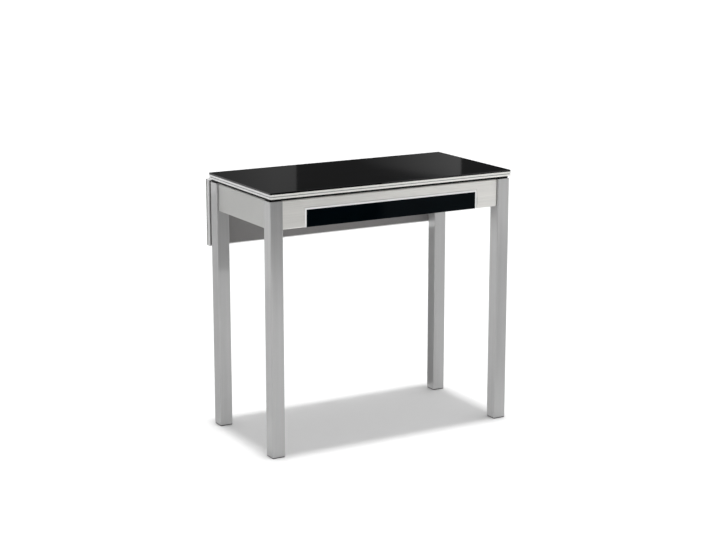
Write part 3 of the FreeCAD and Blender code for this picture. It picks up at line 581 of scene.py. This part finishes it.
sunk_radius = 0.0036
sunk_shank = 0.0018
sunk_length = 0.011
sunk_cone = sunk_radius - sunk_shank
sunk_cross_reach = 0.0042
sunk_cross_width = 0.0010
sunk_cross_depth = 0.0015
sunk_pattern = round_bar("sunk_pattern", round_sides, sunk_radius, sunk_cone, -sunk_cone)
pick_faces(sunk_pattern, lambda centre, normal: normal.z < -facing)
bpy.ops.transform.resize(value=(sunk_shank / sunk_radius, sunk_shank / sunk_radius, 1.0))
draw_out(sunk_length - sunk_cone - sunk_shank)
draw_out(sunk_shank, tip_share)
bpy.ops.object.mode_set(mode="OBJECT")
sunk_punch = cross_punch(sunk_cross_reach, sunk_cross_width, sunk_cross_depth, -sunk_cross_depth)
cut_away(sunk_pattern, sunk_punch)
sunk_pattern.data.materials.append(zinc_steel)
smooth_over(sunk_pattern)

hinge_step = 0.250
plate_sheet = 0.002
plate_screw_x = 0.019
plate_screw_y = 0.017
plate_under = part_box("hinge_plates_top")[1][2] - plate_sheet
pin_low, pin_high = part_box("hinge_pins")
pin_y = (pin_low[1] + pin_high[1]) / 2
pin_z = (pin_low[2] + pin_high[2]) / 2
leaf_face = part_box("leaf_board")[0][1]
down = (0.0, 0.0, -1.0)
forward = (0.0, -1.0, 0.0)
for hinge_name, hinge_x, top_turn, leaf_turn in (
    ("left", -hinge_step, -2.5, -1.75),
    ("middle", 0.0, 0.0, 0.0),
    ("right", hinge_step, 2.5, 1.75),
):
    for step_name, step in (("a", -plate_screw_x), ("b", plate_screw_x)):
        name = "_".join(("hinge_screw", hinge_name, step_name))
        place = (hinge_x + step, pin_y - plate_screw_y, plate_under)
        screw = set_in_place(sunk_pattern, name, place, down, "frame", top_turn)
        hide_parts("hinge_screws")
        name = "_".join(("leaf_screw", hinge_name, step_name))
        place = (hinge_x + step, leaf_face - plate_sheet, pin_z - plate_screw_y)
        screw = set_in_place(sunk_pattern, name, place, forward, "leaf", leaf_turn)
        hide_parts("leaf_screws")

bracket_sheet = 0.0025
bracket_screw_x = 0.34375
bracket_drop = 0.05993
bracket_step = 0.010
runner_screw_edge = 0.006
for side, direction in (("left", -1.0), ("right", 1.0)):
    for step_name, step, turn in (("low", -bracket_step, -0.4), ("high", bracket_step, 0.4)):
        name = "_".join(("bracket_screw", side, step_name))
        place = (direction * bracket_screw_x, leaf_face - bracket_sheet, pin_z - bracket_drop + step)
        screw = set_in_place(sunk_pattern, name, place, forward, "leaf", turn)
        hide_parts("leaf_screws")
    foot_low, foot_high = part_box("runner_moving_" + side)
    foot_x = foot_low[0] + runner_screw_edge if side == "right" else foot_high[0] - runner_screw_edge
    for number, (share, turn) in enumerate(((0.12, 0.6), (0.5, 2.5), (0.85, 4.25))):
        name = "_".join(("runner_screw", side, str(number)))
        place = (foot_x, foot_low[1] + share * (foot_high[1] - foot_low[1]), foot_low[2])
        set_in_place(sunk_pattern, name, place, down, "drawer", turn)
bpy.data.objects.remove(sunk_pattern)

# Bumpers: moulded black rubber buttons, hollow in the middle, stuck to the rear apron
# for the hanging leaf to rest against.

bumper_rubber = finish(
    "bumper_rubber", dark=grey(0.018), light=grey(0.03), smooth=0.7, rough=0.85,
    cloud_scale=60.0, grain_scale=1600.0, grain_share=0.6, relief=0.00006,
)
bumpers_low, bumpers_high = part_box("leaf_bumpers")
bumper_radius = (bumpers_high[2] - bumpers_low[2]) / 2
bumper_reach = bumpers_high[1] - bumpers_low[1]
bumper_tip = 0.0065
bumper_wall = 0.0028
bumper_lip = 0.0009
bumper_lip_steps = 4
bumper_smooth = 50.0
hollow_depth = bumper_reach / 2
hollow_taper = 0.8
bumper_pattern = round_bar("bumper_pattern", round_sides, bumper_radius, bumper_reach)
pick_faces(bumper_pattern, lambda centre, normal: normal.z > facing)
bpy.ops.transform.resize(value=(bumper_tip / bumper_radius, bumper_tip / bumper_radius, 1.0))
bpy.ops.mesh.inset(thickness=bumper_wall)
draw_out(hollow_depth, hollow_taper)
pick_edges(
    bumper_pattern,
    lambda a, b: min(a.z, b.z) > bumper_reach - touching and abs(a.length - b.length) < touching,
)
bpy.ops.mesh.bevel(offset=bumper_lip, segments=bumper_lip_steps)
bpy.ops.object.mode_set(mode="OBJECT")
bumper_pattern.data.materials.append(bumper_rubber)
smooth_over(bumper_pattern, bumper_smooth)
bumper_z = (bumpers_low[2] + bumpers_high[2]) / 2
for side, bumper_x in (("left", bumpers_low[0] + bumper_radius), ("right", bumpers_high[0] - bumper_radius)):
    name = "leaf_bumper_" + side
    place = (bumper_x, bumpers_low[1], bumper_z)
    bumper = set_in_place(bumper_pattern, name, place, (0.0, 1.0, 0.0), "frame")
    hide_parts("leaf_bumpers")
bpy.data.objects.remove(bumper_pattern)

# Drawer: a black glass front in a slim bright trim, on a box of laminated board.
# The box is glued at its corners, holds its bottom in grooves and runs between the bearers.

drawer_board = finish(
    "drawer_board", dark=grey(0.50), light=grey(0.58), smooth=0.5, rough=0.65,
    cloud_scale=6.0, grain_scale=900.0, grain_share=0.6, relief=0.00005,
)
for board in ("inner_front", "side_left", "side_right", "back", "bottom"):
    dress(drawer_board, "drawer_" + board)
front_glass = finish(
    "drawer_black_glass", dark=(0.0004, 0.0016, 0.0026, 1.0), light=(0.0008, 0.0028, 0.0042, 1.0),
    smooth=0.05, rough=0.1, cloud_scale=12.0, grain_scale=60.0, grain_share=0.3, relief=0.000001,
)
shader_of(front_glass).inputs["IOR"].default_value = 1.1
dress(front_glass, "drawer_glass")
bright_trim = finish(
    "bright_trim", dark=grey(0.95), light=grey(0.98), smooth=0.3, rough=0.4,
    cloud_scale=150.0, grain_scale=900.0, grain_share=0.5, relief=0.00001, stretch=(drawn_stretch, 1.0, 1.0),
)
dress(bright_trim, "drawer_trim")

# Studio floor: a wide matt floor in pale paint, which the table stands on.
# It is clear from below, so that the underside of the table can be looked at.

floor_size = 120.0
bpy.ops.object.select_all(action="DESELECT")
bpy.ops.mesh.primitive_plane_add(size=floor_size)
floor = bpy.context.object
floor.name = "studio_floor"
floor_paint = finish(
    "floor_paint", dark=grey(0.88), light=grey(0.90), smooth=0.8, rough=0.9,
    cloud_scale=0.7, grain_scale=30.0, grain_share=0.3, relief=0.0001,
)
floor_tree = floor_paint.node_tree
see_through = floor_tree.nodes.new("ShaderNodeBsdfTransparent")
underside = floor_tree.nodes.new("ShaderNodeNewGeometry")
one_way = floor_tree.nodes.new("ShaderNodeMixShader")
floor_tree.links.new(underside.outputs["Backfacing"], one_way.inputs["Fac"])
floor_tree.links.new(shader_of(floor_paint).outputs["BSDF"], one_way.inputs[1])
floor_tree.links.new(see_through.outputs["BSDF"], one_way.inputs[2])
floor_tree.links.new(one_way.outputs["Shader"], floor_tree.nodes["Material Output"].inputs["Surface"])
floor.data.materials.append(floor_paint)

# Light cards: thin glowing sheets that only reflections show. Two stand far behind and give the
# glass top its panels, and one lies under the table and evens out its shadow in the lower legs.


def studio_sheet(name, middle, size, turn, rise=0.0):
    """Thin sheet of the studio, seen in reflections only, that throws no shadow and may rise to the right.
    Gives its node tree, a see-through shader and the place across it, where its whole width is 1."""
    bpy.ops.object.select_all(action="DESELECT")
    bpy.ops.mesh.primitive_plane_add(size=1.0, location=middle, rotation=turn)
    sheet = bpy.context.object
    sheet.name = name
    sheet.scale = (size[0], size[1], 1.0)
    sheet.visible_camera = False
    sheet.visible_diffuse = False
    sheet.visible_shadow = False
    for point in sheet.data.vertices:
        if point.co.x > 0.0 and point.co.y > 0.0:
            point.co.y += rise / size[1]
    material = bpy.data.materials.new(name)
    material.use_nodes = True
    sheet.data.materials.append(material)
    tree = material.node_tree
    place = tree.nodes.new("ShaderNodeTexCoord")
    axes = tree.nodes.new("ShaderNodeSeparateXYZ")
    tree.links.new(place.outputs["Object"], axes.inputs["Vector"])
    return tree, tree.nodes.new("ShaderNodeBsdfTransparent"), axes.outputs["X"]


upright = (math.pi / 2, 0.0, 0.0)
lying = (0.0, 0.0, 0.0)
# Each card: its middle, size and turn, its rise to the right, where across it the glow begins and
# where it is full, both from its middle, and its strength
for card_name, middle, size, turn, rise, fade_from, fade_to, glow in (
    ("left", (2.265, 6.0, 1.80), (1.33, 3.20), upright, 0.0, -0.365, 0.485, 0.085),
    ("right", (3.795, 6.0, 1.02), (0.99, 1.64), upright, 0.24, -0.395, 0.455, 0.130),
    ("under", (0.0, 0.0, 0.001), (0.80, 0.42), lying, 0.0, -0.400, -0.360, 0.400),
):
    tree, clear, across = studio_sheet("light_card_" + card_name, middle, size, turn, rise)
    tree.nodes.remove(tree.nodes["Principled BSDF"])
    strength = tree.nodes.new("ShaderNodeMapRange")
    strength.inputs["From Min"].default_value = fade_from / size[0]
    strength.inputs["From Max"].default_value = fade_to / size[0]
    strength.inputs["To Max"].default_value = glow
    light = tree.nodes.new("ShaderNodeEmission")
    both = tree.nodes.new("ShaderNodeAddShader")
    tree.links.new(across, strength.inputs["Value"])
    tree.links.new(strength.outputs["Result"], light.inputs["Strength"])
    tree.links.new(light.outputs["Emission"], both.inputs[0])
    tree.links.new(clear.outputs["BSDF"], both.inputs[1])
    tree.links.new(both.outputs["Shader"], tree.nodes["Material Output"].inputs["Surface"])

# Black flags: sheets of felt that only reflections show, most of them thin enough to see through.
# The large one in front shades the drawer front, and each of the others one face of a leg.

flag_felt = grey(0.008)
flag_side = 0.5
# Each flag: its middle, size and turn, the soft share of its width at each side, how much it hides
for flag_name, middle, size, turn, soft, weight in (
    ("front", (0.0, -1.30, 0.85), (1.25, 1.10), upright, 0.02, 1.0),
    ("front_right", (0.60, -0.55, 0.25), (0.20, 0.50), upright, 0.3, 0.4),
    ("under_left", (-0.35, 0.08, 0.565), (0.10, 0.20), upright, 0.2, 0.55),
    ("side_left", (-0.49, 0.0, 0.25), (0.14, 0.40), upright, 0.2, 0.17),
    ("rear_right", (0.312, 0.21, 0.2625), (0.086, 0.525), upright, 0.1, 0.75),
    ("rear_left", (-0.437, 0.21, 0.35), (0.066, 0.70), upright, 0.15, 0.33),
):
    tree, clear, across = studio_sheet("black_flag_" + flag_name, middle, size, turn)
    felt = tree.nodes["Principled BSDF"]
    felt.inputs["Base Color"].default_value = flag_felt
    felt.inputs["Roughness"].default_value = 1.0
    off_middle = tree.nodes.new("ShaderNodeMath")
    off_middle.operation = "ABSOLUTE"
    fade = tree.nodes.new("ShaderNodeMapRange")
    fade.inputs["From Min"].default_value = flag_side
    fade.inputs["From Max"].default_value = flag_side - soft
    fade.inputs["To Max"].default_value = weight
    both = tree.nodes.new("ShaderNodeMixShader")
    tree.links.new(across, off_middle.inputs[0])
    tree.links.new(off_middle.outputs["Value"], fade.inputs["Value"])
    tree.links.new(fade.outputs["Result"], both.inputs["Fac"])
    tree.links.new(clear.outputs["BSDF"], both.inputs[1])
    tree.links.new(felt.outputs["BSDF"], both.inputs[2])
    tree.links.new(both.outputs["Shader"], tree.nodes["Material Output"].inputs["Surface"])

# Studio light: a soft light straight overhead and a dome of light that leans to the right
# and darkens towards the horizon. The camera sees a plain white backdrop instead of the dome.

overhead_strength = 1.9
overhead_spread = math.radians(5.0)
sun_data = bpy.data.lights.new("overhead", "SUN")
sun_data.energy = overhead_strength
sun_data.angle = overhead_spread
overhead = bpy.data.objects.new("overhead", sun_data)
bpy.context.scene.collection.objects.link(overhead)

dome_strength = 0.95
dome_lean = 0.5
horizon_strength = 0.019
dome_from = math.sin(math.radians(22.0))
dome_full = math.sin(math.radians(38.0))
world = bpy.data.worlds.new("studio")
bpy.context.scene.world = world
world.use_nodes = True
sky = world.node_tree
sky.nodes.clear()
sky_place = sky.nodes.new("ShaderNodeTexCoord")
sky_axes = sky.nodes.new("ShaderNodeSeparateXYZ")
sky_height = sky.nodes.new("ShaderNodeMapRange")
sky_height.inputs["From Min"].default_value = dome_from
sky_height.inputs["From Max"].default_value = dome_full
sky_height.inputs["To Min"].default_value = horizon_strength
sky_height.inputs["To Max"].default_value = dome_strength
sky_side = sky.nodes.new("ShaderNodeMapRange")
sky_side.inputs["From Min"].default_value = -1.0
sky_side.inputs["To Min"].default_value = 1.0 - dome_lean
sky_side.inputs["To Max"].default_value = 1.0 + dome_lean
sky_strength = sky.nodes.new("ShaderNodeMath")
sky_strength.operation = "MULTIPLY"
dome = sky.nodes.new("ShaderNodeBackground")
dome.inputs["Color"].default_value = grey(1.0)
backdrop = sky.nodes.new("ShaderNodeBackground")
backdrop.inputs["Color"].default_value = grey(1.0)
rays = sky.nodes.new("ShaderNodeLightPath")
choice = sky.nodes.new("ShaderNodeMixShader")
output = sky.nodes.new("ShaderNodeOutputWorld")
sky.links.new(sky_place.outputs["Object"], sky_axes.inputs["Vector"])
sky.links.new(sky_axes.outputs["Z"], sky_height.inputs["Value"])
sky.links.new(sky_axes.outputs["X"], sky_side.inputs["Value"])
sky.links.new(sky_height.outputs["Result"], sky_strength.inputs[0])
sky.links.new(sky_side.outputs["Result"], sky_strength.inputs[1])
sky.links.new(sky_strength.outputs["Value"], dome.inputs["Strength"])
sky.links.new(rays.outputs["Is Camera Ray"], choice.inputs["Fac"])
sky.links.new(dome.outputs["Background"], choice.inputs[1])
sky.links.new(backdrop.outputs["Background"], choice.inputs[2])
sky.links.new(choice.outputs["Shader"], output.inputs["Surface"])
bpy.context.scene.view_settings.view_transform = "Standard"

# Camera: at the photograph's place, aimed along its fitted axis with no shift.
# Its view angle is set by the focal length fitted in pixels of the picture's width.

picture_width = 716.0
focal_pixels = 1704.7
camera_place = (-2.47576, -4.33508, 1.60636)
camera_yaw = 0.5185
camera_pitch = 0.22425
view_reach = 200.0
lens = bpy.data.cameras.new("camera")
lens.sensor_fit = "HORIZONTAL"
lens.lens = lens.sensor_width * focal_pixels / picture_width
lens.clip_end = view_reach
camera = bpy.data.objects.new("camera", lens)
camera.location = camera_place
camera.rotation_euler = (math.pi / 2 - camera_pitch, 0.0, -camera_yaw)
bpy.context.scene.collection.objects.link(camera)
bpy.context.scene.camera = camera
